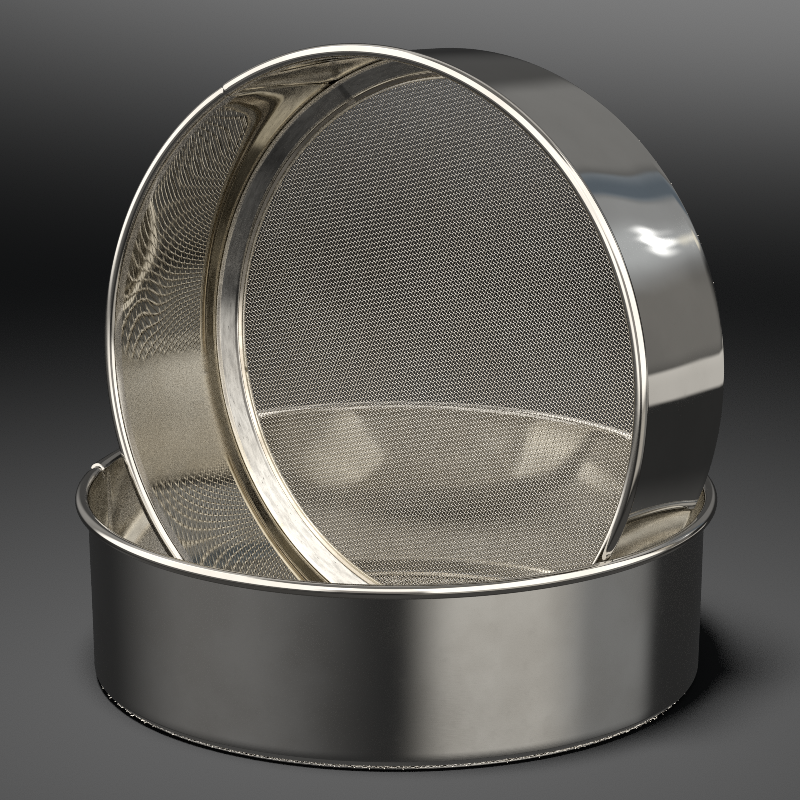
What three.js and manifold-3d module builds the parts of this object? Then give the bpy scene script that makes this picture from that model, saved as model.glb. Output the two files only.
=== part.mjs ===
// A pair of round stainless steel soil sieves. The lower one stands flat, and the upper one
// stands on its side inside it, turned and tilted so that its rim bead and its foot touch the
// lower screen. Units are millimetres and +Z is up. The origin is the centre of the lower
// sieve's base ring, at floor level.
import * as THREE from 'three';
import { mergeVertices } from 'three/addons/utils/BufferGeometryUtils.js';
import Module from 'manifold-3d';

// Driving dimensions of one sieve.
const WALL_RADIUS = 150; // outside of the wall, just under the rim bead
const HEIGHT = 92; // floor to the top of the rim bead
const TAPER = 1.6; // the wall is this much narrower, in radius, at its foot
const SHEET = 0.7; // thickness of the wall's sheet
const GAP = 0.25; // free space kept between two pieces
const BEAD_RADIUS = 3.4; // rolled rim, outside
const RIM_WIRE_RADIUS = 2.3; // stiffening wire inside the rolled rim
const FOOT_RADIUS = 3; // rounding between the wall and its inward flange
const FLANGE_INNER_RADIUS = 138.4;
const BASE_RING_THICKNESS = 0.8;
const BASE_RING_INNER_RADIUS = 134.8;
const BASE_RING_OUTER_RADIUS = 144.2;
const SCREEN_RADIUS = 146;
const WIRE_DIAMETER = 0.45; // the woven screen is two wires thick
const CLAMP_THICKNESS = 0.7;
const CLAMP_RISE = 4.9; // the clamp ring climbs this far on its way out to the wall
const LIP_INNER_RADIUS = 133.6; // trim ring that closes the clamp ring's inner edge
const LIP_WIDTH = 1.3;
const LIP_HEIGHT = 1.4;
const SEAM_WIDTH = 7; // overlap of the wall sheet's two ends
const SEAM_PROUD = 0.45;
const JOINT_SLIT = 0.6; // slit where a bent ring's two ends meet
const SLIT_CUTTER = 40; // the slit's cutter is this tall and deep, past any ring's outline
const LIP_JOINT_TURN = THREE.MathUtils.degToRad(68); // from the wall seam to the lip's joint

// Placing of the two sieves.
const LOWER_SEAM_ANGLE = THREE.MathUtils.degToRad(166);
const UPPER_SEAM_ANGLE = THREE.MathUtils.degToRad(215.3);
const UPPER_HEADING = THREE.MathUtils.degToRad(-124.1); // where the upper sieve's mouth faces
const UPPER_RIM_X = -14.9; // centre of the upper sieve's rim, in plan
const UPPER_RIM_Y = -28.1;
const REST_GAP = 0.35; // between the upper sieve and the screen it stands on

// Derived dimensions.
const SEGMENTS = 48;
const BEAD_ARC_STEPS = 7;
const FOOT_ARC_STEPS = 3;
const BEAD_CENTRE_RADIUS = WALL_RADIUS - SHEET + BEAD_RADIUS;
const BEAD_CENTRE_Z = HEIGHT - BEAD_RADIUS;
const BEAD_CURL_END = THREE.MathUtils.degToRad(-122); // the curl stops short of the wall
const FOOT_WALL_RADIUS = WALL_RADIUS - TAPER;
const SCREEN_THICKNESS = 2 * WIRE_DIAMETER;
const SCREEN_BOTTOM = BASE_RING_THICKNESS + GAP;
const SCREEN_TOP = SCREEN_BOTTOM + SCREEN_THICKNESS;
const FLANGE_BOTTOM = SCREEN_TOP + GAP;
const FLANGE_TOP = FLANGE_BOTTOM + SHEET;
const FOOT_CENTRE_RADIUS = FOOT_WALL_RADIUS - FOOT_RADIUS;
const FOOT_CENTRE_Z = FLANGE_BOTTOM + FOOT_RADIUS;
const CLAMP_INNER_RADIUS = LIP_INNER_RADIUS + LIP_WIDTH + GAP;
const CLAMP_OUTER_RADIUS = FOOT_WALL_RADIUS - SHEET - GAP;
const CLAMP_BOTTOM = FLANGE_BOTTOM;

const wasm = await Module();
wasm.setup();

function weld(geometry) {
  geometry.deleteAttribute('normal');
  geometry.deleteAttribute('uv');
  return mergeVertices(geometry, 1e-4);
}

function toSolid(geometry) {
  const welded = weld(geometry);
  return new wasm.Manifold(new wasm.Mesh({
    numProp: 3,
    vertProperties: new Float32Array(welded.attributes.position.array),
    triVerts: new Uint32Array(welded.index.array),
  }));
}

function toGeometry(solid) {
  const mesh = solid.getMesh();
  const geometry = new THREE.BufferGeometry();
  geometry.setAttribute('position', new THREE.BufferAttribute(mesh.vertProperties, 3));
  geometry.setIndex(new THREE.BufferAttribute(mesh.triVerts, 1));
  geometry.computeVertexNormals();
  return geometry;
}

// Points on a circle, from one angle to another, in the (radius, height) plane.
function arc(centreRadius, centreZ, radius, from, to, steps) {
  const points = [];
  for (let i = 0; i <= steps; i += 1) {
    const angle = from + ((to - from) * i) / steps;
    const r = centreRadius + radius * Math.cos(angle);
    points.push(new THREE.Vector2(r, centreZ + radius * Math.sin(angle)));
  }
  return points;
}

// Turns a closed anticlockwise (radius, height) outline about +Z, with a flat facet on +X.
function turned(outline) {
  const points = [...outline, outline[0].clone()];
  const geometry = new THREE.LatheGeometry(points, SEGMENTS);
  geometry.rotateX(Math.PI / 2);
  geometry.rotateZ(Math.PI / SEGMENTS);
  return weld(geometry);
}

function rectangle(innerRadius, outerRadius, bottom, top) {
  return [
    new THREE.Vector2(innerRadius, bottom),
    new THREE.Vector2(outerRadius, bottom),
    new THREE.Vector2(outerRadius, top),
    new THREE.Vector2(innerRadius, top),
  ];
}

// Opens a ring with a narrow slit, where the two ends of the bent strip meet.
function slitRing(geometry, radius, angle) {
  const cutter = new THREE.BoxGeometry(SLIT_CUTTER, JOINT_SLIT, SLIT_CUTTER);
  cutter.translate(radius, 0, 0);
  cutter.rotateZ(angle);
  return toGeometry(toSolid(geometry).subtract(toSolid(cutter)));
}

// The wall: an inward flange, a rounded foot, a slightly tapered side and a rolled rim.
function shellGeometry() {
  const footInside = FOOT_RADIUS - SHEET;
  const beadInside = BEAD_RADIUS - SHEET;
  const outline = [
    new THREE.Vector2(FLANGE_INNER_RADIUS, FLANGE_BOTTOM),
    ...arc(FOOT_CENTRE_RADIUS, FOOT_CENTRE_Z, FOOT_RADIUS, -Math.PI / 2, 0, FOOT_ARC_STEPS),
    new THREE.Vector2(WALL_RADIUS, BEAD_CENTRE_Z),
    ...arc(BEAD_CENTRE_RADIUS, BEAD_CENTRE_Z, beadInside, Math.PI, BEAD_CURL_END, BEAD_ARC_STEPS).slice(1),
    ...arc(BEAD_CENTRE_RADIUS, BEAD_CENTRE_Z, BEAD_RADIUS, BEAD_CURL_END, Math.PI, BEAD_ARC_STEPS),
    ...arc(FOOT_CENTRE_RADIUS, FOOT_CENTRE_Z, footInside, 0, -Math.PI / 2, FOOT_ARC_STEPS),
    new THREE.Vector2(FLANGE_INNER_RADIUS, FLANGE_TOP),
  ];
  const wall = toSolid(turned(outline));
  return toGeometry(wall.add(toSolid(seamLapGeometry())));
}

// The outer layer of the lap where the wall sheet's two ends overlap.
function seamLapGeometry() {
  const bottom = FOOT_CENTRE_Z;
  const top = BEAD_CENTRE_Z - BEAD_RADIUS - 2 * GAP;
  const buried = SHEET / 2;
  const facetInset = Math.cos(Math.PI / SEGMENTS);
  const side = (WALL_RADIUS - FOOT_WALL_RADIUS) / (BEAD_CENTRE_Z - FOOT_CENTRE_Z);
  const lap = new THREE.BoxGeometry(buried + SEAM_PROUD, SEAM_WIDTH, top - bottom);
  lap.rotateY(Math.atan(side));
  const middleRadius = FOOT_WALL_RADIUS + (side * (top - bottom)) / 2;
  lap.translate(middleRadius * facetInset + (SEAM_PROUD - buried) / 2, 0, (top + bottom) / 2);
  return lap;
}

function rimWireGeometry() {
  const steps = 8;
  const outline = arc(BEAD_CENTRE_RADIUS, BEAD_CENTRE_Z, RIM_WIRE_RADIUS, 0, 2 * Math.PI, steps);
  outline.pop();
  return slitRing(turned(outline), BEAD_CENTRE_RADIUS, 0);
}

// The sloped strip that presses the screen's margin against the flange.
function clampRingGeometry() {
  const outline = [
    new THREE.Vector2(CLAMP_INNER_RADIUS, CLAMP_BOTTOM),
    new THREE.Vector2(CLAMP_OUTER_RADIUS, CLAMP_BOTTOM + CLAMP_RISE),
    new THREE.Vector2(CLAMP_OUTER_RADIUS, CLAMP_BOTTOM + CLAMP_RISE + CLAMP_THICKNESS),
    new THREE.Vector2(CLAMP_INNER_RADIUS, CLAMP_BOTTOM + CLAMP_THICKNESS),
  ];
  return slitRing(turned(outline), CLAMP_OUTER_RADIUS, 0);
}

function lipRingGeometry() {
  const outer = LIP_INNER_RADIUS + LIP_WIDTH;
  const outline = rectangle(LIP_INNER_RADIUS, outer, CLAMP_BOTTOM, CLAMP_BOTTOM + LIP_HEIGHT);
  return slitRing(turned(outline), outer, LIP_JOINT_TURN);
}

// The woven screen, as a plain disc of the weave's full thickness.
function screenGeometry() {
  const outline = [
    new THREE.Vector2(0, SCREEN_BOTTOM),
    new THREE.Vector2(SCREEN_RADIUS, SCREEN_BOTTOM),
    new THREE.Vector2(SCREEN_RADIUS, SCREEN_TOP),
    new THREE.Vector2(0, SCREEN_TOP),
  ];
  const geometry = new THREE.LatheGeometry(outline, SEGMENTS);
  geometry.rotateX(Math.PI / 2);
  geometry.rotateZ(Math.PI / SEGMENTS);
  return weld(geometry);
}

function baseRingGeometry() {
  return turned(rectangle(BASE_RING_INNER_RADIUS, BASE_RING_OUTER_RADIUS, 0, BASE_RING_THICKNESS));
}

function steel(colour, roughness) {
  return new THREE.MeshStandardMaterial({ color: colour, roughness, metalness: 1 });
}

function piece(name, geometry, material) {
  const mesh = new THREE.Mesh(geometry, material);
  mesh.name = name;
  return mesh;
}

// One whole sieve, standing flat, with its wall seam on +X. The lower one's outside is
// brushed, and the upper one's is polished.
function sieve(prefix, wallRoughness) {
  const group = new THREE.Group();
  group.add(piece(`${prefix}_shell`, shellGeometry(), steel(0xb9b6b0, wallRoughness)));
  group.add(piece(`${prefix}_rim_wire`, rimWireGeometry(), steel(0x8f8d89, 0.4)));
  group.add(piece(`${prefix}_clamp_ring`, clampRingGeometry(), steel(0x96938c, 0.55)));
  group.add(piece(`${prefix}_lip_ring`, lipRingGeometry(), steel(0xd9cfb9, 0.3)));
  group.add(piece(`${prefix}_screen`, screenGeometry(), steel(0x8b857b, 0.35)));
  group.add(piece(`${prefix}_base_ring`, baseRingGeometry(), steel(0xa09d97, 0.5)));
  return group;
}

// The sideways sieve rolls on its bead and its rounded foot, which have different radii, so
// its axis leans back from level by this angle.
function restingTilt() {
  const radiusStep = BEAD_CENTRE_RADIUS - FOOT_CENTRE_RADIUS;
  const span = BEAD_CENTRE_Z - FOOT_CENTRE_Z;
  return Math.atan2(radiusStep, span) + Math.asin((BEAD_RADIUS - FOOT_RADIUS) / Math.hypot(radiusStep, span));
}

// Stands a sieve on its side: the group's local +Z, from base to rim, points at the heading.
function standOnSide(group) {
  const tilt = restingTilt();
  const rimZ = SCREEN_TOP + REST_GAP + BEAD_CENTRE_RADIUS * Math.cos(tilt) + BEAD_RADIUS;
  const mouth = new THREE.Vector3(
    Math.cos(UPPER_HEADING) * Math.cos(tilt),
    Math.sin(UPPER_HEADING) * Math.cos(tilt),
    Math.sin(tilt),
  );
  const placed = new THREE.Group();
  placed.rotation.set(0, Math.PI / 2 - tilt, UPPER_HEADING, 'ZYX');
  placed.position.set(UPPER_RIM_X, UPPER_RIM_Y, rimZ);
  placed.position.addScaledVector(mouth, -BEAD_CENTRE_Z);
  group.rotation.z = UPPER_SEAM_ANGLE;
  placed.add(group);
  return placed;
}

const lower = sieve('lower', 0.3);
lower.rotation.z = LOWER_SEAM_ANGLE;

const soilSieves = new THREE.Group();
soilSieves.add(lower);
soilSieves.add(standOnSide(sieve('upper', 0.08)));

export default soilSieves;
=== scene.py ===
import math

import bpy
import numpy as np
from mathutils import Matrix, Vector

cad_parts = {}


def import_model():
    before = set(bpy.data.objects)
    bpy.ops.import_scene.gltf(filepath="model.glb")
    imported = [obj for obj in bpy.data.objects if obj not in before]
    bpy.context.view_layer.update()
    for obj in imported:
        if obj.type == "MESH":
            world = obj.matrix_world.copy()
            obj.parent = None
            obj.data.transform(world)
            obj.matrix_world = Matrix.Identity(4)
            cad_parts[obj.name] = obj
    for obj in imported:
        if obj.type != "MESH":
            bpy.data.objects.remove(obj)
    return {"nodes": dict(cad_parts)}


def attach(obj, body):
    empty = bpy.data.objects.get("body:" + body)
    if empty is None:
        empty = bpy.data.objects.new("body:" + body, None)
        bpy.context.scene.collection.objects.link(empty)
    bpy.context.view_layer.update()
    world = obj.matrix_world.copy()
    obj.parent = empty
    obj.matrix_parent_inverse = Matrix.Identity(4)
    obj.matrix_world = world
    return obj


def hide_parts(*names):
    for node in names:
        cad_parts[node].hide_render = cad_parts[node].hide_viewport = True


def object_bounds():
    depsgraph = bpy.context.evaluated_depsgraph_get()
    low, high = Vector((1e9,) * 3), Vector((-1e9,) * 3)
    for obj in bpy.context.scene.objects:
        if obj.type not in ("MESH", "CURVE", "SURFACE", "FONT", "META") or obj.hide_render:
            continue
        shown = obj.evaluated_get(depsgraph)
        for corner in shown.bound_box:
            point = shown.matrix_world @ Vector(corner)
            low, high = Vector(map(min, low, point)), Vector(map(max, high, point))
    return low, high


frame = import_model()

cad_low, cad_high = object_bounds()

# The pair of sieves is modelled in millimetres, each in its own upright frame: origin at the
# centre of the base ring's underside, +Z towards the rim, +X at the wall seam.
MM = 0.001
TAU = 2 * math.pi

SHEET = 0.7  # wall sheet
FOOT_RADIUS = 3.0
CURL_END = math.radians(-122)  # where the rolled rim's sheet stops, short of the wall
CUT_SOFT = 0.18  # rounding on the base ring's cut edges
LIP_SOFT = 0.5  # rounding on the lip ring's edges
SLIT_HALF = 0.3  # half the slit in the rim wire and in the lip ring

# The wall's lapped seam. Places along the wall are distances past the seam.
SEAM_HALF = 3.5  # half the lap of the wall's two ends
SEAM_RISE = 0.45
LAP_START = -9  # where the outer sheet starts to rise over the lap
LAP_DROP = 1  # the lap goes this far down into the foot's rounding
SEAM_STEPS = (0.15, 0.35, 0.36, 0.8, 1.5, 2.3, 2.4, 3.0, 3.42, 3.5, 4.2, 5, 6, 7.5, 9, 11, 14)
EVEN_FROM = 17.5  # the wall's steps are even beyond this distance from the seam
EVEN_STEPS = 360

# The rolled rim's seam. Pairs are the places between which a change happens, and growths are
# shares of the bead's usual size.
SLEEVE_END = -0.36  # the sleeve's open end, just short of the seam
SLEEVE_FLARE = (-16, -3)
SLEEVE_GROWTH = 0.11
HEM_FLARE = (-3.2, -2.6)
HEM_GROWTH = 0.01
TUCK_FADE = (2, 12)  # where the tucked end comes back to full size
TUCK_GROWTH = -0.20
GAP_PLACE = 0.3  # the narrow neck where the tucked end goes in
GAP_WIDTH = 0.7
GAP_GROWTH = -0.12
PLEATS_START = (-46, -22)
PLEATS_STOP = (-4, -3)
PLEATS_ROUND = 13  # folds round the bead
PLEAT_GROWTH = 0.016

# The wall's unevenness
RIPPLE_TURNS = (2, 3, 5, 7, 9, 13, 17)  # waves in a full turn
RIPPLE_SIZE = 0.16
RIPPLE_LEAN = 0.05
DENTS = 46  # bumps on each wall
DENT_SEED = 100  # keeps the bumps' draws apart from the ripple's
DENT_LEVELS = (10, 85)
DENT_WIDTHS = (9, 26)
DENT_HEIGHTS = (8, 22)

WALL_CREASE = math.radians(50)  # a sharper turn of the sheet is shaded as an edge

# The clamp ring's section and its lapped joint
BAND_WIDTH = 2.0  # the flatter inner band
BAND_RISE = 0.12  # share of the ring's rise that the band takes
GROOVE_DEPTH = 0.3
GROOVE_FLOOR = 0.1  # half its width
GROOVE_EDGE = 0.3  # from its middle to the band
SLOPE_FOOT = (0.35, 0.12)  # out from the groove's middle, and above the band
RIDGE_INSET = 0.25
RIDGE_DROP = 0.2
RIDGE_ROUND = 0.46
RIDGE_ARC = (-0.9, 2.6)
RIDGE_BAND = 0.5  # the trim's finish starts this far inside the ridge's middle
BACK_INSET = 0.4
CLAMP_LAP = 9.5  # where the upper end starts to rise over the lower one
CLAMP_LAP_TOP = 4
CLAMP_CLEAR = 0.06
CLAMP_WAVE = 0.10
CLAMP_WAVES = (9, 14.3)  # in a full turn, multiplied together
WAVE_RISE = 4  # the waves grow over this width from the inner edge
WAVE_STOP = 0.8  # and stop short of the ridge
CLAMP_CREASE = math.radians(40)

# The base ring's spot welds
WELDS = 24
WELD_DEPTH = 0.28
WELD_RADIUS = 1.5
WELD_COLLAR = 0.05  # height of the metal pushed up round each weld
COLLAR_RADIUS = 2.7
COLLAR_WIDTH = 0.7

# The woven screen
WEAVE_WIRE = 0.21  # wire radius
WARP_SPACING = 1.45
WEFT_SPACING = 1.61
WARP_HEADING = math.radians(25.7)  # from the seam
WEFT_HEADING = math.radians(122.7)  # pulled a little out of square
CUT_SCATTER = 1.0  # how unevenly the screen's edge is cut
CUT_FRAY = 0.7  # how far cut ends spring up or down
CROWN = 0.25  # share of the run between crossings that a crown takes on each side
CUT_CLEAR = 0.3  # a crown this near a cut end is left out
SHORTEST = 3.0  # half-length of the shortest wire kept
LIP_MARGIN = 1.6  # crossings go on this far under the lip
EDGE_MARGIN = 0.6  # and start again this far inside the base ring's edge
DRIFT = 0.30  # how far the weave wanders, in long waves
DRIFT_FINE = 0.16  # and in short ones
BUCKLE = 0.12
BUCKLE_FINE = 0.10
FLAT_FROM, FLAT_TO = 110, 133  # radii between which the buckles fade out
BANDS = 3  # pieces that each set of wires is split into, side by side


# ---------------------------------------------------------------- frame measurements

def node_points(node):
    """A CAD node's distinct corners, in millimetres, in the row frame."""
    data = frame["nodes"][node].data
    corners = np.zeros(len(data.vertices) * 3)
    data.vertices.foreach_get("co", corners)
    return np.unique((corners.reshape(-1, 3) / MM).round(4), axis=0)


def unit(v):
    return v / np.linalg.norm(v)


class Sieve:
    """One sieve's placing and sizes, read from its CAD nodes."""

    def __init__(self, prefix):
        self.prefix = prefix
        self.body = prefix + "_sieve"
        base = node_points(prefix + "_base_ring")
        up = np.linalg.svd(base - base.mean(0))[2][2]
        screen_middle = node_points(prefix + "_screen").mean(0)
        up = up * np.sign((screen_middle - base.mean(0)) @ up)
        self.up = up
        self.origin = base.mean(0) - up * np.ptp(base @ up) / 2
        self.seam = self.slit_direction(prefix + "_clamp_ring")
        lip = self.slit_direction(prefix + "_lip_ring")
        across = np.cross(up, self.seam)
        self.lip_joint = math.atan2(lip @ across, lip @ self.seam)
        self.axes = np.array([self.seam, across, up])
        self.read_sizes()

    def slit_direction(self, node):
        """A slit ring has extra corners at its slit, which pull its mean corner that way."""
        pull = node_points(node).mean(0) - self.origin
        return unit(pull - (pull @ self.up) * self.up)

    def span(self, node):
        """Least and greatest radius and height of one of this sieve's nodes."""
        local = (node_points(self.prefix + node) - self.origin) @ self.axes.T
        radius = np.hypot(local[:, 0], local[:, 1])
        return radius.min(), radius.max(), local[:, 2].min(), local[:, 2].max()

    def read_sizes(self):
        """The CAD keeps one same gap between pieces, read here between screen and flange."""
        wire_in, wire_out, wire_low, wire_high = self.span("_rim_wire")
        self.rim_wire_radius = (wire_high - wire_low) / 2
        self.bead_z = (wire_high + wire_low) / 2
        self.bead_r = round((wire_out + wire_in) / 2, 2)
        self.flange_in, _, self.flange_z, rim_top = self.span("_shell")
        self.bead = rim_top - self.bead_z
        self.wall = self.bead_r - self.bead + SHEET
        _, self.screen_r, screen_low, screen_high = self.span("_screen")
        self.screen_z = (screen_low + screen_high) / 2
        self.clamp = self.span("_clamp_ring")
        self.lip = self.span("_lip_ring")
        self.base = self.span("_base_ring")
        clamp_outer = self.clamp[1]
        gap = self.flange_z - screen_high
        self.foot = clamp_outer + SHEET + gap

    def matrix(self):
        placed = Matrix.Identity(4)
        for column in range(3):
            for row in range(3):
                placed[row][column] = self.axes[column][row]
        for row in range(3):
            placed[row][3] = self.origin[row] * MM
        return placed


# ---------------------------------------------------------------- mesh building

def mesh_object(name, points, faces, uvs=None, slots=None):
    """points in millimetres; faces as a list of index arrays, one array per face size."""
    mesh = bpy.data.meshes.new(name)
    sizes = np.concatenate([np.full(len(f), f.shape[1]) for f in faces])
    loops = np.concatenate([f.ravel() for f in faces])
    starts = np.concatenate([[0], np.cumsum(sizes)[:-1]])
    mesh.vertices.add(len(points))
    mesh.vertices.foreach_set("co", (np.asarray(points) * MM).astype(np.float32).ravel())
    mesh.loops.add(len(loops))
    mesh.loops.foreach_set("vertex_index", loops.astype(np.int32))
    mesh.polygons.add(len(sizes))
    mesh.polygons.foreach_set("loop_start", starts.astype(np.int32))
    mesh.polygons.foreach_set("use_smooth", np.ones(len(sizes), bool))
    if slots is not None:
        mesh.polygons.foreach_set("material_index", slots.astype(np.int32))
    if uvs is not None:
        layer = mesh.uv_layers.new(name="along")
        layer.data.foreach_set("uv", (np.asarray(uvs) * MM).astype(np.float32).ravel())
    mesh.update()
    mesh.validate()
    thing = bpy.data.objects.new(name, mesh)
    bpy.context.scene.collection.objects.link(thing)
    return thing


def arc(centre, radius, start, end, steps):
    """Points along an arc, with both its ends."""
    angles = np.linspace(start, end, steps + 1)
    return np.stack([centre[0] + radius * np.cos(angles), centre[1] + radius * np.sin(angles)], 1)


def straight(start, end, steps):
    """Evenly spaced points from start towards end, without the end itself."""
    share = np.arange(steps)[:, None] / steps
    return np.array(start) * (1 - share) + np.array(end) * share


def softened(corners, soft, steps=3):
    """A closed outline with each corner rounded. A short edge is shared by its two corners, with
    a little left straight between them."""
    share_of_edge = 1 / 2.1
    corners = np.asarray(corners, float)
    out = []
    for i, corner in enumerate(corners):
        before = corners[i - 1] - corner
        after = corners[(i + 1) % len(corners)] - corner
        shorter = min(np.linalg.norm(before), np.linalg.norm(after))
        reach = min(soft, shorter * share_of_edge)
        start = corner + unit(before) * reach
        end = corner + unit(after) * reach
        for t in np.linspace(0, 1, steps + 1):
            out.append((1 - t) ** 2 * start + 2 * t * (1 - t) * corner + t * t * end)
    return np.array(out)


def turned(name, outline, angles, whole=True, shape=None, kinds=None):
    """Sweeps a closed anticlockwise (radius, height) outline round +Z through the angles. A
    whole turn closes on itself, and any other has its two ends capped. kinds gives each
    outline edge's material slot; shape moves the swept grid."""
    angles = np.asarray(angles)
    radius = np.tile(outline[:, 0], (len(angles), 1))
    height = np.tile(outline[:, 1], (len(angles), 1))
    if shape:
        radius, height = shape(angles[:, None], radius, height)
    points = np.stack([radius * np.cos(angles)[:, None], radius * np.sin(angles)[:, None], height], 2)
    rows, cols = radius.shape
    steps = rows if whole else rows - 1
    i, j = np.meshgrid(np.arange(steps), np.arange(cols), indexing="ij")
    nexti, nextj = (i + 1) % rows, (j + 1) % cols
    quads = np.stack([i * cols + j, nexti * cols + j, nexti * cols + nextj, i * cols + nextj], 2)
    around = np.append(angles, angles[0] + TAU) * outline[:, 0].mean()
    closed = np.vstack([outline, outline[:1]])
    run = np.concatenate([[0], np.cumsum(np.hypot(*np.diff(closed, axis=0).T))])
    uv = np.stack([
        np.stack([around[i], run[j]], 2), np.stack([around[i + 1], run[j]], 2),
        np.stack([around[i + 1], run[j + 1]], 2), np.stack([around[i], run[j + 1]], 2)], 2)
    faces = [quads.reshape(-1, 4)]
    uvs = uv.reshape(-1, 2)
    slots = np.zeros(steps * cols) if kinds is None else np.tile(kinds, steps)
    if not whole:
        ends = np.array([np.arange(cols), (rows - 1) * cols + np.arange(cols)[::-1]])
        faces.append(ends)
        uvs = np.vstack([uvs, outline, outline[::-1]])
        slots = np.append(slots, [0, 0])
    return mesh_object(name, points.reshape(-1, 3), faces, uvs, slots)


def around_seam(radius):
    """Angles for a full turn, with fine steps close to the seam at angle 0."""
    fine = np.array(SEAM_STEPS)
    near = np.concatenate([-fine[::-1], [0], fine]) / radius
    far = np.linspace(EVEN_FROM / radius, TAU - EVEN_FROM / radius, EVEN_STEPS)
    return np.concatenate([near, far])


def smooth(low, high, x):
    """0 below low and 1 above high, with a smooth rise between."""
    t = np.clip((x - low) / (high - low), 0, 1)
    return t * t * (3 - 2 * t)


def seam_distance(angles, radius):
    """Signed distance round the wall from the seam."""
    return (np.mod(angles + math.pi, TAU) - math.pi) * radius


def ripple(angles, height, seed):
    """Low, broad unevenness of rolled sheet, in millimetres. Shorter waves are shallower."""
    draw = np.random.default_rng(seed)
    total = np.zeros(np.broadcast(angles, height).shape)
    for turns in RIPPLE_TURNS:
        phase = draw.uniform(0, TAU)
        lean = draw.uniform(-RIPPLE_LEAN, RIPPLE_LEAN)
        total += np.cos(turns * angles + lean * height + phase) * RIPPLE_SIZE / turns ** 0.8
    return total


# ---------------------------------------------------------------- the pieces of one sieve

def lap(s):
    """How far the wall's outer sheet stands off at its lap, s being the distance past the seam."""
    return SEAM_RISE * smooth(LAP_START, -SEAM_HALF, s)


def shell(sieve, seed, unevenness, barrel, flare):
    """The rolled sheet: inward flange, rounded foot, tapered side and the curled rim.
    unevenness: depth of the dents; barrel: how far the side bulges at mid-height; flare: how
    strongly the rim's seam shows, 1 being fully."""
    foot_steps, side_steps, curl_in_steps, curl_out_steps = 7, 21, 18, 52
    foot = (sieve.foot - FOOT_RADIUS, sieve.flange_z + FOOT_RADIUS)
    bead = (sieve.bead_r, sieve.bead_z)

    def side(start, end):
        return straight(start, end, side_steps)[1:]

    foot_out = arc(foot, FOOT_RADIUS, -math.pi / 2, 0, foot_steps)
    foot_in = arc(foot, FOOT_RADIUS - SHEET, 0, -math.pi / 2, foot_steps)
    curl_in = arc(bead, sieve.bead - SHEET, math.pi, CURL_END, curl_in_steps)
    curl_out = arc(bead, sieve.bead, CURL_END, math.pi, curl_out_steps)
    flange = [[sieve.flange_in, sieve.flange_z], [sieve.flange_in, sieve.flange_z + SHEET]]
    parts = [flange[:1], foot_out, side(foot_out[-1], curl_in[0]), curl_in, curl_out,
             side(curl_out[-1], foot_in[0]), foot_in, flange[1:]]
    outline = np.vstack(parts)
    counts = [len(p) for p in parts]
    group = np.repeat(np.arange(len(parts)), counts)
    outside = group <= 2
    curl = (group == 3) | (group == 4)
    inside = group >= 5
    kinds = np.where(outside, 0, np.where(curl, 2, 1))
    turn_in_curl = np.arctan2(outline[:, 1] - bead[1], outline[:, 0] - bead[0])
    side_share = np.sin(np.clip((outline[:, 1] - foot[1]) / (bead[1] - foot[1]), 0, 1) * math.pi)
    lapped = (outline[:, 1] > foot[1] - LAP_DROP) & ~curl

    def shape(angles, radius, height):
        radius = radius + side_share * ripple(angles, height, seed)
        radius = radius + side_share * (barrel + dents(angles, height, seed, unevenness, sieve.wall))
        s = seam_distance(angles, sieve.wall)
        outer = lap(s) * (s < SEAM_HALF)
        inner = lap(s) * (s < -SEAM_HALF)
        radius = radius + np.where(lapped, np.where(inside, inner, outer), 0)
        swell = 1 + flare * (rim_seam(s) + pleats(s, turn_in_curl) * (group == 4))
        radius = np.where(curl, bead[0] + (radius - bead[0]) * swell, radius)
        height = np.where(curl, bead[1] + (height - bead[1]) * swell, height)
        return radius, height

    angles = around_seam(sieve.wall)
    return turned(sieve.prefix + "_shell_sheet", outline, angles, shape=shape, kinds=kinds)


def rim_seam(s):
    """The curled rim's ends: one is opened out into a hemmed sleeve, with the other pushed
    into it. Gives the growth of the curl, as a share of its usual size."""
    outer = s < SLEEVE_END
    sleeve = SLEEVE_GROWTH * smooth(*SLEEVE_FLARE, s) * outer
    hem = HEM_GROWTH * smooth(*HEM_FLARE, s) * outer
    tucked = TUCK_GROWTH * (1 - smooth(*TUCK_FADE, s)) * ~outer
    gap = GAP_GROWTH * np.exp(-((s - GAP_PLACE) / GAP_WIDTH) ** 2) * ~outer
    return sleeve + hem + tucked + gap


def pleats(s, turn):
    """Fine lengthwise folds in the sleeve, fading out away from its open end."""
    fold = smooth(*PLEATS_START, s) * (1 - smooth(*PLEATS_STOP, s))
    return PLEAT_GROWTH * np.cos(PLEATS_ROUND * turn) * fold


def dents(angles, height, seed, size, wall):
    """Shallow unevenness, as soft bumps scattered over a wall of that radius."""
    draw = np.random.default_rng(seed + DENT_SEED)
    total = np.zeros(np.broadcast(angles, height).shape)
    for _ in range(DENTS):
        middle = draw.uniform(0, TAU)
        level = draw.uniform(*DENT_LEVELS)
        wide = draw.uniform(*DENT_WIDTHS)
        tall = draw.uniform(*DENT_HEIGHTS)
        depth = draw.uniform(-size, size)
        along = seam_distance(angles - middle, wall)
        total += depth * np.exp(-(along / wide) ** 2 - ((height - level) / tall) ** 2)
    return total


def rim_wire(sieve):
    """The round wire inside the rolled rim, slit at the wall's seam."""
    sides, steps = 16, 240
    outline = arc((sieve.bead_r, sieve.bead_z), sieve.rim_wire_radius, 0, TAU, sides)[:-1]
    gap = SLIT_HALF / sieve.bead_r
    angles = np.linspace(gap, TAU - gap, steps)
    return turned(sieve.prefix + "_rim_wire_rod", outline, angles, whole=False)


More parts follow.
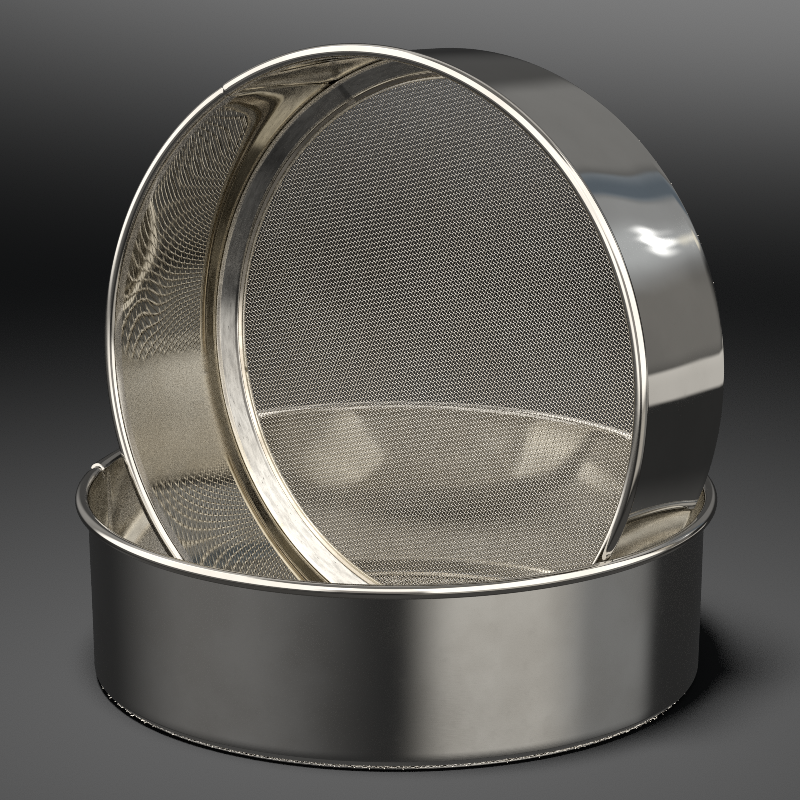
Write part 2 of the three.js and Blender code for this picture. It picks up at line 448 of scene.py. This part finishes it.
def clamp_ring(sieve, seed):
    """The sloped strip, with one end lapped over the other: a rounded ridge against the wall, the
    slope, a fine groove and a flatter inner band."""
    back_steps, round_steps, slope_steps, band_steps = 5, 9, 7, 4
    lower_end_steps, even_steps, upper_end_steps = 14, 320, 20
    inner, outer, low, high = sieve.clamp
    rise = high - low - SHEET
    groove = inner + BAND_WIDTH
    bend = low + rise * BAND_RISE
    top = bend + SHEET  # the band's upper side, at the groove
    ridge = outer - RIDGE_INSET
    ridge_arc = arc((ridge, high - RIDGE_DROP), RIDGE_ROUND, *RIDGE_ARC, round_steps)
    slope_foot = (groove + SLOPE_FOOT[0], top + SLOPE_FOOT[1])
    groove_bottom = top - GROOVE_DEPTH
    outline = np.vstack([
        straight((inner, low), (groove, bend), back_steps),
        straight((groove, bend), (outer - BACK_INSET, high - SHEET), back_steps),
        ridge_arc,
        straight(ridge_arc[-1], slope_foot, slope_steps)[1:],
        [slope_foot],
        [(groove + GROOVE_FLOOR, groove_bottom), (groove - GROOVE_FLOOR, groove_bottom)],
        straight((groove - GROOVE_EDGE, top), (inner, low + SHEET), band_steps),
        [(inner, low + SHEET)]])
    on_band = outline[:, 0] < groove + GROOVE_EDGE
    on_ridge = outline[:, 0] > ridge - RIDGE_BAND
    slot_of_edge = np.where(on_band, 1, np.where(on_ridge, 2, 0))
    end = SEAM_HALF / outer
    joint = CLAMP_LAP / outer
    angles = np.concatenate([
        np.linspace(-end, joint, lower_end_steps)[:-1],
        np.linspace(joint, TAU - joint, even_steps),
        np.linspace(TAU - joint, TAU + end, upper_end_steps)[1:]])
    slope = unit(np.array([-rise, outer - inner]))

    def shape(turn, radius, height):
        lift = (SHEET + CLAMP_CLEAR) * smooth(-CLAMP_LAP, -CLAMP_LAP_TOP, (turn - TAU) * outer)
        wave = CLAMP_WAVE * np.sin(turn * CLAMP_WAVES[0] + seed) * np.sin(turn * CLAMP_WAVES[1])
        wave = wave * smooth(inner, inner + WAVE_RISE, radius) * (radius < outer - WAVE_STOP)
        return radius + slope[0] * lift, height + slope[1] * lift + wave

    name = sieve.prefix + "_clamp_ring_strip"
    return turned(name, outline, angles, whole=False, shape=shape, kinds=slot_of_edge)


def lip_ring(sieve):
    """The thin trim, slit at its butt joint."""
    corner_steps, steps = 4, 360
    inner, outer, low, high = sieve.lip
    corners = [[inner, low], [outer, low], [outer, high], [inner, high]]
    outline = softened(corners, LIP_SOFT, corner_steps)
    gap = SLIT_HALF / outer
    angles = sieve.lip_joint + np.linspace(gap, TAU - gap, steps)
    return turned(sieve.prefix + "_lip_ring_trim", outline, angles, whole=False)


def base_ring(sieve):
    """The flat ring, with a row of spot-weld dimples pressed into its underside."""
    inner, outer, low, high = sieve.base
    margin, corner_steps, under_points, steps = 0.4, 3, 11, 720
    across = np.linspace(inner + margin, outer - margin, under_points)
    under = np.stack([across, np.full(under_points, low)], 1)
    corners = [[inner, low], [outer, low], [outer, high], [inner, high]]
    ends = softened(corners, CUT_SOFT, corner_steps)
    first_corner = corner_steps + 1
    outline = np.vstack([ends[:first_corner], under, ends[first_corner:]])
    track = (inner + outer) / 2
    angles = np.linspace(0, TAU, steps + 1)[:-1]

    def shape(turn, radius, height):
        weld = np.mod(turn + math.pi / WELDS, TAU / WELDS) - math.pi / WELDS
        far = np.hypot(weld * track, radius - track)
        press = WELD_DEPTH * np.exp(-(far / WELD_RADIUS) ** 2)
        press = press - WELD_COLLAR * np.exp(-((far - COLLAR_RADIUS) / COLLAR_WIDTH) ** 2)
        return radius, height + np.clip(press, 0, 1) * (height < (low + high) / 2)

    return turned(sieve.prefix + "_base_ring_flat", outline, angles, shape=shape)


def pulled(points):
    """The small, slow drift of the weave across the screen."""
    x, y = points[:, 0], points[:, 1]
    drift_x = DRIFT * np.sin(x / 31 + y / 47 + 0.6) + DRIFT_FINE * np.sin(y / 19 - x / 60)
    drift_y = DRIFT * np.sin(y / 37 - x / 41 + 2.1) + DRIFT_FINE * np.sin(x / 22 + y / 55)
    return points + np.stack([drift_x, drift_y], 1)


def sag(points):
    """Height of the screen's middle surface: almost flat, with slight buckles."""
    x, y = points[:, 0], points[:, 1]
    inner = 1 - smooth(FLAT_FROM, FLAT_TO, np.hypot(x, y))
    buckles = BUCKLE * np.sin(x / 23 + 1) * np.sin(y / 29) + BUCKLE_FINE * np.sin((x + y) / 17)
    return inner * buckles


def wire_paths(sieve, family, seed):
    """The middle lines of one set of the screen's wires, in order across the screen. Every wire
    passes over and under the other set in turn, and is level over each crossing. Yields, for each
    wire, how far along its points lie, how far each is raised, and where each is. Points out past the
    base ring count as raised twice as far, so that the cut ends take the painted highlight."""
    headings = (WARP_HEADING, WEFT_HEADING)
    spacings = (WARP_SPACING, WEFT_SPACING)
    skew = math.sin(headings[1] - headings[0])
    along = np.array([math.cos(headings[family]), math.sin(headings[family])])
    cross_step = spacings[1 - family] / skew  # between crossings, along one wire
    other = np.array([math.cos(headings[1 - family]), math.sin(headings[1 - family])])
    wire_step = spacings[family] / skew  # between wires, along the other set
    draw = np.random.default_rng(seed)
    reach = sieve.screen_r
    opening = sieve.lip[0] + LIP_MARGIN
    hidden = sieve.base[1] - EDGE_MARGIN
    most = int(reach / spacings[family])
    for i in range(-most, most + 1):
        start = other * wire_step * i
        past_middle = start @ along
        off_centre_squared = start @ start - past_middle ** 2
        half_squared = reach ** 2 - off_centre_squared
        if half_squared < SHORTEST ** 2:
            continue
        half_length = math.sqrt(half_squared)
        low = -past_middle - half_length
        high = -past_middle + half_length
        j = np.arange(math.ceil(low / cross_step), math.floor(high / cross_step) + 1)
        side = np.where((i + j) % 2 == 0, 1, -1) * (1 if family == 0 else -1)
        radius = np.hypot(*(start + along * (j * cross_step)[:, None]).T)
        seen = (radius < opening) | (radius > hidden)
        t = (np.repeat(j[seen], 2) + np.tile([-CROWN, CROWN], seen.sum())) * cross_step
        side = np.repeat(side[seen], 2)
        ragged = draw.uniform(-CUT_SCATTER, CUT_SCATTER, 2)
        ends = np.array([low - ragged[0], high + ragged[1]])
        frayed = draw.uniform(-1, 1, 2) * CUT_FRAY
        kept = (t > ends[0] + CUT_CLEAR) & (t < ends[1] - CUT_CLEAR)
        t = np.concatenate([[ends[0]], t[kept], [ends[1]]])
        side = np.concatenate([[0], side[kept], [0]])
        flat = pulled(start + along * t[:, None])
        middle = np.column_stack([flat, sieve.screen_z + WEAVE_WIRE * side + sag(flat)])
        middle[[0, -1], 2] += frayed
        cut_end = np.hypot(*flat.T) > hidden
        # cut ends count as raised twice as far, so that they take the painted highlight
        yield t, WEAVE_WIRE * np.where(cut_end, 2, side), middle


def screen_wires(sieve, family, seed):
    """One set of wires, as BANDS meshes. The map's v is a corner's distance from the screen's middle
    surface, greatest on the crowns and at the cut ends; the wire's material paints a highlight where
    it is great and shade where it is small."""
    ring = np.array([[1, 0], [0, 1], [-1, 0], [0, -1]]) * WEAVE_WIRE
    corner = np.arange(4)
    paths = list(wire_paths(sieve, family, seed))
    for band in range(BANDS):
        points, quads, where = [], [], []
        total = 0
        first_path = band * len(paths) // BANDS
        past_last = (band + 1) * len(paths) // BANDS
        for t, level, middle in paths[first_path:past_last]:
            n = len(t)
            run = np.gradient(middle[:, :2], axis=0)
            run /= np.linalg.norm(run, axis=1)[:, None]
            across = np.column_stack([-run[:, 1], run[:, 0], np.zeros(n)])
            rings = middle[:, None] + ring[None, :, :1] * across[:, None]
            rings = rings + ring[None, :, 1:] * [0, 0, 1]
            first = total + np.arange(n - 1)[:, None] * 4
            a = first + corner
            b = first + (corner + 1) % 4
            quads.append(np.stack([a, a + 4, b + 4, b], 2).reshape(-1, 4)[:, ::-1])
            quads.append(corner[None, ::-1] + total)
            quads.append(corner[None] + total + 4 * (n - 1))
            points.append(rings.reshape(-1, 3))
            off = np.abs(level[:, None] + ring[None, :, 1])
            where.append(np.stack([np.tile(t[:, None], (1, 4)), off], 2).reshape(-1, 2))
            total += 4 * n
        quads = np.vstack(quads)
        name = f"{sieve.prefix}_screen_{('warp', 'weft')[family]}_{band + 1}"
        yield mesh_object(name, np.vstack(points), [quads], np.vstack(where)[quads.ravel()])


# ---------------------------------------------------------------- materials

# Noise scales, per metre. Three numbers are for the map: along the strip, across it, and unused.
SHEET_CLOUDS = 28
SHEET_FINE = 210
DRAWN_LINES = (22, 5200, 1)
OXIDE_MIST = (90, 420, 1)
PITS = (260, 1400, 1)
WIRE_CLOUDS = 22
WIRE_FINE = 900

OXIDE_COLOUR = (0.25, 0.24, 0.225, 1)
PIT_COLOUR = (0.05, 0.045, 0.04, 1)
PIT_ROUGH = 0.2
SCUFF_ROUGH = 0.16
SCUFF_WANDER = 0.02  # metres that the scuff's ends wander
SCUFF_START = (6, 14)  # millimetres past where it starts, between which it sets in
SCUFF_END = (4, 16)  # millimetres past where it ends, between which it dies out
WIRE_BRIGHT = (1.0, 0.97, 0.91, 1)
WIRE_WARM = (0.95, 0.90, 0.82, 1)
WIRE_STAIN = (0.50, 0.46, 0.40, 1)
# painted shade for the wire down in the crossings
WIRE_PAINTED_SHADE = (0.20, 0.18, 0.15, 1)
WIRE_ROUGH = 0.16
# between these distances from the middle surface the wire goes from painted shade to painted
# highlight
SHADE_TO_HIGHLIGHT = (0.06, 0.36)  # distances from the screen's middle surface


class Tree:
    """Short calls for building one node tree."""

    def __init__(self, owner):
        owner.use_nodes = True
        self.tree = owner.node_tree
        self.tree.nodes.clear()

    def add(self, kind, inputs=None, **settings):
        node = self.tree.nodes.new("ShaderNode" + kind)
        for key, value in settings.items():
            setattr(node, key, value)
        for key, value in (inputs or {}).items():
            if isinstance(value, bpy.types.NodeSocket):
                self.tree.links.new(value, node.inputs[key])
            else:
                node.inputs[key].default_value = value
        return node

    def math(self, operation, *values):
        inputs = dict(enumerate(values))
        return self.add("Math", inputs, operation=operation).outputs[0]

    def step(self, value, low, high, start=0.0, end=1.0):
        inputs = {"Value": value, "From Min": low, "From Max": high, "To Min": start, "To Max": end}
        return self.add("MapRange", inputs, interpolation_type="SMOOTHSTEP").outputs[0]

    def noise(self, place, scale, detail=3.0, roughness=0.55, stretch=None):
        if stretch:
            place = self.add("VectorMath", {0: place, 1: stretch}, operation="MULTIPLY").outputs[0]
        inputs = {"Vector": place, "Scale": scale, "Detail": detail, "Roughness": roughness}
        return self.add("TexNoise", inputs).outputs[0]

    def blend(self, factor, first, second):
        inputs = {"Factor": factor, 6: first, 7: second}
        return self.add("Mix", inputs, data_type="RGBA").outputs[2]

    def output(self, kind, shader):
        """Sends the shader to the tree's output, kind being Material or World."""
        out = self.add("Output" + kind)
        self.tree.links.new(shader, out.inputs[0])


def steel(name, bright, tint, rough, grain=0.0, anisotropy=0.0, blotch=0.25, specks=0.0, dull=0.0,
          scuff=None):
    """Stainless sheet, its colour wandering between bright and tint. grain: depth of the fine lines
    drawn along the strip; blotch: how much roughness wanders; specks: small dark pits; dull: grey
    oxide clouding; scuff: a stretch of the wall worn matt, as millimetres round from the seam where
    it starts and ends."""
    material = bpy.data.materials.new(name)
    nodes = Tree(material)
    place = nodes.add("TexCoord").outputs["Object"]
    flat = nodes.add("UVMap", uv_map="along").outputs[0]
    cloud = nodes.noise(place, SHEET_CLOUDS, 4)
    fine = nodes.noise(place, SHEET_FINE, 3)
    lines = nodes.noise(flat, 1.0, 2, 0.6, DRAWN_LINES)
    colour = nodes.blend(nodes.step(cloud, 0.35, 0.68), (*bright, 1), (*tint, 1))
    rough_here = nodes.step(cloud, 0.3, 0.7, rough * (1 - blotch), rough * (1 + blotch))
    rough_here = nodes.math("ADD", rough_here, nodes.step(fine, 0.55, 0.75, 0.0, rough * blotch))
    if scuff:
        run = nodes.add("SeparateXYZ", {0: flat}).outputs[0]
        run = nodes.math("ADD", run, nodes.math("MULTIPLY", cloud, SCUFF_WANDER))
        sets_in = [(scuff[0] + past) * MM for past in SCUFF_START]
        dies_out = [(scuff[1] + past) * MM for past in SCUFF_END]
        start = nodes.step(run, *sets_in, 0.0, SCUFF_ROUGH)
        end = nodes.step(run, *dies_out, 1.0, 0.0)
        rough_here = nodes.math("ADD", rough_here, nodes.math("MULTIPLY", start, end))
    if dull:
        mist = nodes.noise(flat, 1.0, 5, 0.7, OXIDE_MIST)
        colour = nodes.blend(nodes.step(mist, 0.38, 0.66, 0, dull), colour, OXIDE_COLOUR)
    if specks:
        spots = nodes.noise(flat, 1.0, 3, 0.65, PITS)
        spotted = nodes.step(spots, 0.62, 0.72, 0, specks)
        colour = nodes.blend(spotted, colour, PIT_COLOUR)
        rough_here = nodes.math("ADD", rough_here, nodes.math("MULTIPLY", spotted, PIT_ROUGH))
    finish = {"Base Color": colour, "Metallic": 1.0, "Roughness": rough_here,
              "Anisotropic": anisotropy}
    shader = nodes.add("BsdfPrincipled", finish)
    if anisotropy:
        tangent = nodes.add("Tangent", direction_type="UV_MAP", uv_map="along").outputs[0]
        nodes.tree.links.new(tangent, shader.inputs["Tangent"])
    if grain:
        relief = {"Height": lines, "Strength": 1.0, "Distance": grain * MM}
        bump = nodes.add("Bump", relief).outputs[0]
        nodes.tree.links.new(bump, shader.inputs["Normal"])
    nodes.output("Material", shader.outputs[0])
    return material


def wire_material():
    """Drawn wire, with a painted highlight on the crowns and cut ends and painted shade down in the
    crossings.
    """
    material = bpy.data.materials.new("woven_wire")
    nodes = Tree(material)
    place = nodes.add("TexCoord").outputs["Object"]
    flat = nodes.add("UVMap", uv_map="along").outputs[0]
    height = nodes.add("SeparateXYZ", {0: flat}).outputs[1]
    cloud = nodes.noise(place, WIRE_CLOUDS, 3)
    fine = nodes.noise(place, WIRE_FINE, 2)
    colour = nodes.blend(nodes.step(cloud, 0.35, 0.65), WIRE_BRIGHT, WIRE_WARM)
    colour = nodes.blend(nodes.step(fine, 0.5, 0.75, 0, 0.3), colour, WIRE_STAIN)
    # painted highlight on the crowns and cut ends, painted shade down in the crossings
    painted_crown_light = nodes.step(height, SHADE_TO_HIGHLIGHT[0] * MM, SHADE_TO_HIGHLIGHT[1] * MM)
    colour = nodes.blend(painted_crown_light, WIRE_PAINTED_SHADE, colour)
    finish = {"Base Color": colour, "Metallic": 1.0, "Roughness": WIRE_ROUGH}
    shader = nodes.add("BsdfPrincipled", finish)
    nodes.output("Material", shader.outputs[0])
    return material


satin = steel("satin_wall", (0.60, 0.595, 0.58), (0.56, 0.55, 0.53), 0.15, grain=0.0035,
              anisotropy=0.35, blotch=0.15)
polished = steel("polished_wall", (0.66, 0.65, 0.62), (0.62, 0.61, 0.58), 0.035, grain=0.0006,
                 blotch=0.6)
inner_wall = steel("polished_inside", (0.47, 0.445, 0.385), (0.42, 0.39, 0.325), 0.022,
                   grain=0.0003, blotch=0.6, scuff=(163, 223))
inner_satin = steel("satin_inside", (0.72, 0.71, 0.68), (0.66, 0.64, 0.60), 0.10, grain=0.002,
                    blotch=0.4)
rim_roll = steel("rolled_rim", (0.55, 0.53, 0.495), (0.48, 0.46, 0.425), 0.08, grain=0.002,
                 blotch=0.4)
dull_strip = steel("dull_strip", (0.60, 0.585, 0.55), (0.55, 0.53, 0.49), 0.16, grain=0.006,
                   blotch=0.4, specks=0.8, dull=0.55)
brown_strip = steel("brown_strip", (0.72, 0.66, 0.57), (0.60, 0.54, 0.45), 0.18, grain=0.002,
                    blotch=0.5)
trim = steel("bright_trim", (0.92, 0.87, 0.78), (0.80, 0.74, 0.62), 0.32, grain=0.002, blotch=0.4)
ring_flat = steel("flat_ring", (0.55, 0.54, 0.52), (0.46, 0.45, 0.43), 0.28, grain=0.004,
                  blotch=0.4, specks=0.3, dull=0.3)
rod = steel("rim_rod", (0.5, 0.49, 0.47), (0.42, 0.41, 0.39), 0.3, grain=0.003)
wires = wire_material()


# ---------------------------------------------------------------- building both sieves

def place_piece(piece, sieve, node, slot, *materials):
    """Moves a piece from its upright frame to the sieve's place."""
    piece.data.transform(sieve.matrix())
    for material in materials:
        piece.data.materials.append(material)
    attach(piece, sieve.body)
    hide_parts(sieve.prefix + node)


def build(prefix, outside, inside, wall_slot, seed, unevenness, barrel, flare):
    """Makes one sieve's pieces and puts them in place."""
    sieve = Sieve(prefix)
    wall = shell(sieve, seed, unevenness, barrel, flare)
    place_piece(wall, sieve, "_shell", wall_slot, outside, inside, rim_roll)
    wall.data.set_sharp_from_angle(angle=WALL_CREASE)
    place_piece(rim_wire(sieve), sieve, "_rim_wire", "wire_steel", rod)
    clamp = clamp_ring(sieve, seed)
    clamp.data.set_sharp_from_angle(angle=CLAMP_CREASE)
    place_piece(clamp, sieve, "_clamp_ring", "dull_ring_steel", dull_strip, brown_strip, trim)
    place_piece(lip_ring(sieve), sieve, "_lip_ring", "bright_trim_steel", trim)
    place_piece(base_ring(sieve), sieve, "_base_ring", "dull_ring_steel", ring_flat)
    for family in (0, 1):
        for strands in screen_wires(sieve, family, seed + family):
            place_piece(strands, sieve, "_screen", "woven_screen_steel", wires)


build("lower", satin, inner_satin, "brushed_wall", seed=11, unevenness=0.05, barrel=0.0, flare=1.0)
build("upper", polished, inner_wall, "polished_wall", seed=23, unevenness=0.17, barrel=0.5, flare=0.4)


# ---------------------------------------------------------------- studio, in metres

FLOOR_TONE = 0.62
FLOOR_HALF = 14.0  # half its width
LIGHT_BOUNCES = 16
PIXEL_FILTER = 0.9  # narrow, to keep single wires crisp

AIM = (0.00183, 0.0, 0.13568)  # where the viewer looks
CAMERA_DISTANCE = 1.994
CAMERA_PITCH = math.radians(15.77)  # how far it looks down
LENS = 185.31
FARTHEST = 50  # the camera sees nothing past this

# Soft boxes, as patches of the surroundings that only the steel sees. Azimuth is from the viewer's
# side, towards the right, and elevation is from the horizon, in degrees.
# Each has azimuth from, to, edge; elevation from, to, edge; colour; strength. An edge is half
# the width of a soft end, and patches add up where they overlap.
PATCHES = {
    "tent_left": (-126, -24, 6, -5, 64, 3, (1.0, 0.98, 0.94), 2.0),
    "tent_right": (11, 105, 3, -4, 62, 3, (1.0, 0.98, 0.94), 2.1),
    "tent_middle": (-26, 13, 3, 26, 64, 5, (1.0, 0.98, 0.94), 1.9),
    "viewer_gap": (-24, 11, 3, -2, 26, 4, (1.0, 0.95, 0.90), 0.42),
    "zenith": (-180, 180, 5, 64, 90, 5, (1.0, 0.98, 0.94), 0.22),
    "behind_top": (115, 245, 8, 37, 66, 5, (1.0, 0.98, 0.95), 0.75),
    "front_left_low": (-106, -30, 30, -25, -7, 3, (1.0, 0.98, 0.95), 0.18),
    "front_right_low": (12, 66, 12, -25, -6, 3, (1.0, 0.96, 0.88), 0.66),
    "right_low": (66, 108, 7, -25, -6, 3, (1.0, 1.0, 0.98), 0.24),
    "cream_card": (112, 140, 1.5, -14.0, -8, 0.5, (1.0, 0.96, 0.90), 0.62),
    "right_shelf": (113, 124, 3, -8, 9, 3, (1.0, 0.96, 0.90), 0.19),
    "right_sill": (103, 112.5, 2, -9.5, 9, 1, (1.0, 0.94, 0.82), 0.24),
    "right_window": (107, 114.5, 2, 9, 24, 3, (1.0, 0.92, 0.78), 0.80),
    "right_warm": (126.0, 128.6, 0.6, 10.2, 13.4, 0.8, (1.0, 0.90, 0.66), 0.60),
    "right_grey": (117, 132.5, 1, 9, 37, 3, (0.96, 0.98, 1.0), 0.34),
    "blue_gap": (132.5, 138, 0.6, 5, 37, 3, (0.62, 0.80, 1.0), 0.16),
    "back_right": (138, 166, 3, 5, 37, 6, (1.0, 0.99, 0.97), 0.21),
    "back_wall": (166, 222, 3, 5, 37, 6, (1.0, 0.99, 0.97), 0.06),
    "back_left": (200, 240, 8, -4, 37, 6, (1.0, 0.98, 0.95), 0.34),
    "lamp_low": (123.5, 124.5, 0.8, 12.3, 13.9, 1.1, (1.0, 1.0, 1.0), 2.4),
    "lamp_middle": (124.7, 125.7, 0.8, 13.7, 15.7, 1.1, (1.0, 1.0, 1.0), 6.0),
    "lamp_high": (125.9, 126.9, 0.8, 15.5, 17.3, 1.1, (1.0, 1.0, 1.0), 2.4),
    "lamp_halo": (119, 127, 2.5, 11.5, 19, 2.5, (0.9, 0.96, 1.0), 0.25),
    "ground": (-180, 180, 5, -90, -31, 4, (1.0, 0.98, 0.95), 0.06),
}
BASE_LIGHT = 0.03  # from every direction, to the steel
PLAIN_LIGHT = 0.010  # the backdrop, as the floor and the viewer see it
PLAIN_COLOUR = (0.9, 0.95, 1.0, 1)


def world():
    """The surroundings: the patches for reflected rays, and the dim backdrop for all others."""
    degrees = 180 / math.pi
    made = bpy.data.worlds.new("studio")
    bpy.context.scene.world = made
    nodes = Tree(made)
    ray = nodes.add("TexCoord").outputs["Generated"]
    split = nodes.add("SeparateXYZ", {0: ray}).outputs
    turn = nodes.math("ARCTAN2", split[0], nodes.math("MULTIPLY", split[1], -1.0))
    azimuth = nodes.math("MULTIPLY", turn, degrees)
    behind = nodes.math("FLOORED_MODULO", azimuth, 360.0)
    elevation = nodes.math("MULTIPLY", nodes.math("ARCSINE", split[2]), degrees)
    total = nodes.add("CombineXYZ", {0: BASE_LIGHT, 1: BASE_LIGHT, 2: BASE_LIGHT}).outputs[0]
    for az_from, az_to, az_edge, el_from, el_to, el_edge, colour, strength in PATCHES.values():
        turned_by = behind if az_to > 180 else azimuth
        sides = []
        if el_from > -90:
            sides.append(nodes.step(elevation, el_from - el_edge, el_from + el_edge))
        if el_to < 90:
            sides.append(nodes.step(elevation, el_to - el_edge, el_to + el_edge, 1.0, 0.0))
        if az_from > -180:
            sides.append(nodes.step(turned_by, az_from - az_edge, az_from + az_edge))
            sides.append(nodes.step(turned_by, az_to - az_edge, az_to + az_edge, 1.0, 0.0))
        mask = strength
        for side in sides:
            mask = nodes.math("MULTIPLY", mask, side)
        patch = nodes.add("VectorMath", {0: colour, "Scale": mask}, operation="SCALE").outputs[0]
        total = nodes.add("VectorMath", {0: total, 1: patch}, operation="ADD").outputs[0]
    seen_by_steel = nodes.add("Background", {"Color": total, "Strength": 1.0}).outputs[0]
    plain = nodes.add("Background", {"Color": PLAIN_COLOUR, "Strength": PLAIN_LIGHT}).outputs[0]
    glossy = nodes.add("LightPath").outputs["Is Glossy Ray"]
    mixed = nodes.add("MixShader", {0: glossy, 1: plain, 2: seen_by_steel}).outputs[0]
    nodes.output("World", mixed)


def floor():
    """One flat square under the sieves, which isn't mirrored in the steel."""
    signs = [(-1, -1), (1, -1), (1, 1), (-1, 1)]
    corners = np.array([[x * FLOOR_HALF, y * FLOOR_HALF, cad_low.z] for x, y in signs]) / MM
    slab = mesh_object("studio_floor", corners, [np.array([[0, 1, 2, 3]])])
    material = bpy.data.materials.new("pale_floor")
    nodes = Tree(material)
    tone = (FLOOR_TONE, FLOOR_TONE, FLOOR_TONE, 1)
    shader = nodes.add("BsdfDiffuse", {"Color": tone})
    nodes.output("Material", shader.outputs[0])
    slab.data.materials.append(material)
    slab.visible_glossy = False


def lamp(name, energy, place, target, spread, blend, size):
    """A soft spot, which lights a pool of the floor and isn't mirrored in the steel."""
    data = bpy.data.lights.new(name, "SPOT")
    data.energy = energy
    data.spot_size = math.radians(spread)
    data.spot_blend = blend
    data.shadow_soft_size = size
    made = bpy.data.objects.new(name, data)
    made.location = place
    aim = Vector(target) - Vector(place)
    made.rotation_euler = aim.to_track_quat("-Z", "Y").to_euler()
    made.visible_glossy = False
    bpy.context.scene.collection.objects.link(made)


def camera():
    """The viewer, level from side to side and looking a little down at the sieves."""
    data = bpy.data.cameras.new("viewer")
    data.lens = LENS
    data.clip_end = FARTHEST
    made = bpy.data.objects.new("viewer", data)
    back = Vector((0, -math.cos(CAMERA_PITCH), math.sin(CAMERA_PITCH)))
    made.location = Vector(AIM) + back * CAMERA_DISTANCE
    made.rotation_euler = (math.pi / 2 - CAMERA_PITCH, 0, 0)
    bpy.context.scene.collection.objects.link(made)
    bpy.context.scene.camera = made


world()
floor()
lamp("soft_light", energy=38, place=(-0.25, -0.35, 1.9), target=(0, -0.02, 0), spread=30, blend=1.0,
     size=0.35)
lamp("far_light", energy=76, place=(0.6, 2.7, 2.2), target=(0.6, 2.45, 0), spread=70, blend=0.7,
     size=0.3)
camera()
bpy.context.scene.view_settings.view_transform = "Standard"
cycles = bpy.context.scene.cycles
cycles.use_denoising = False  # it smears the weave
cycles.filter_width = PIXEL_FILTER
cycles.max_bounces = LIGHT_BOUNCES
cycles.glossy_bounces = LIGHT_BOUNCES
cycles.min_light_bounces = LIGHT_BOUNCES  # fewer leave black specks in the weave
cycles.caustics_reflective = False
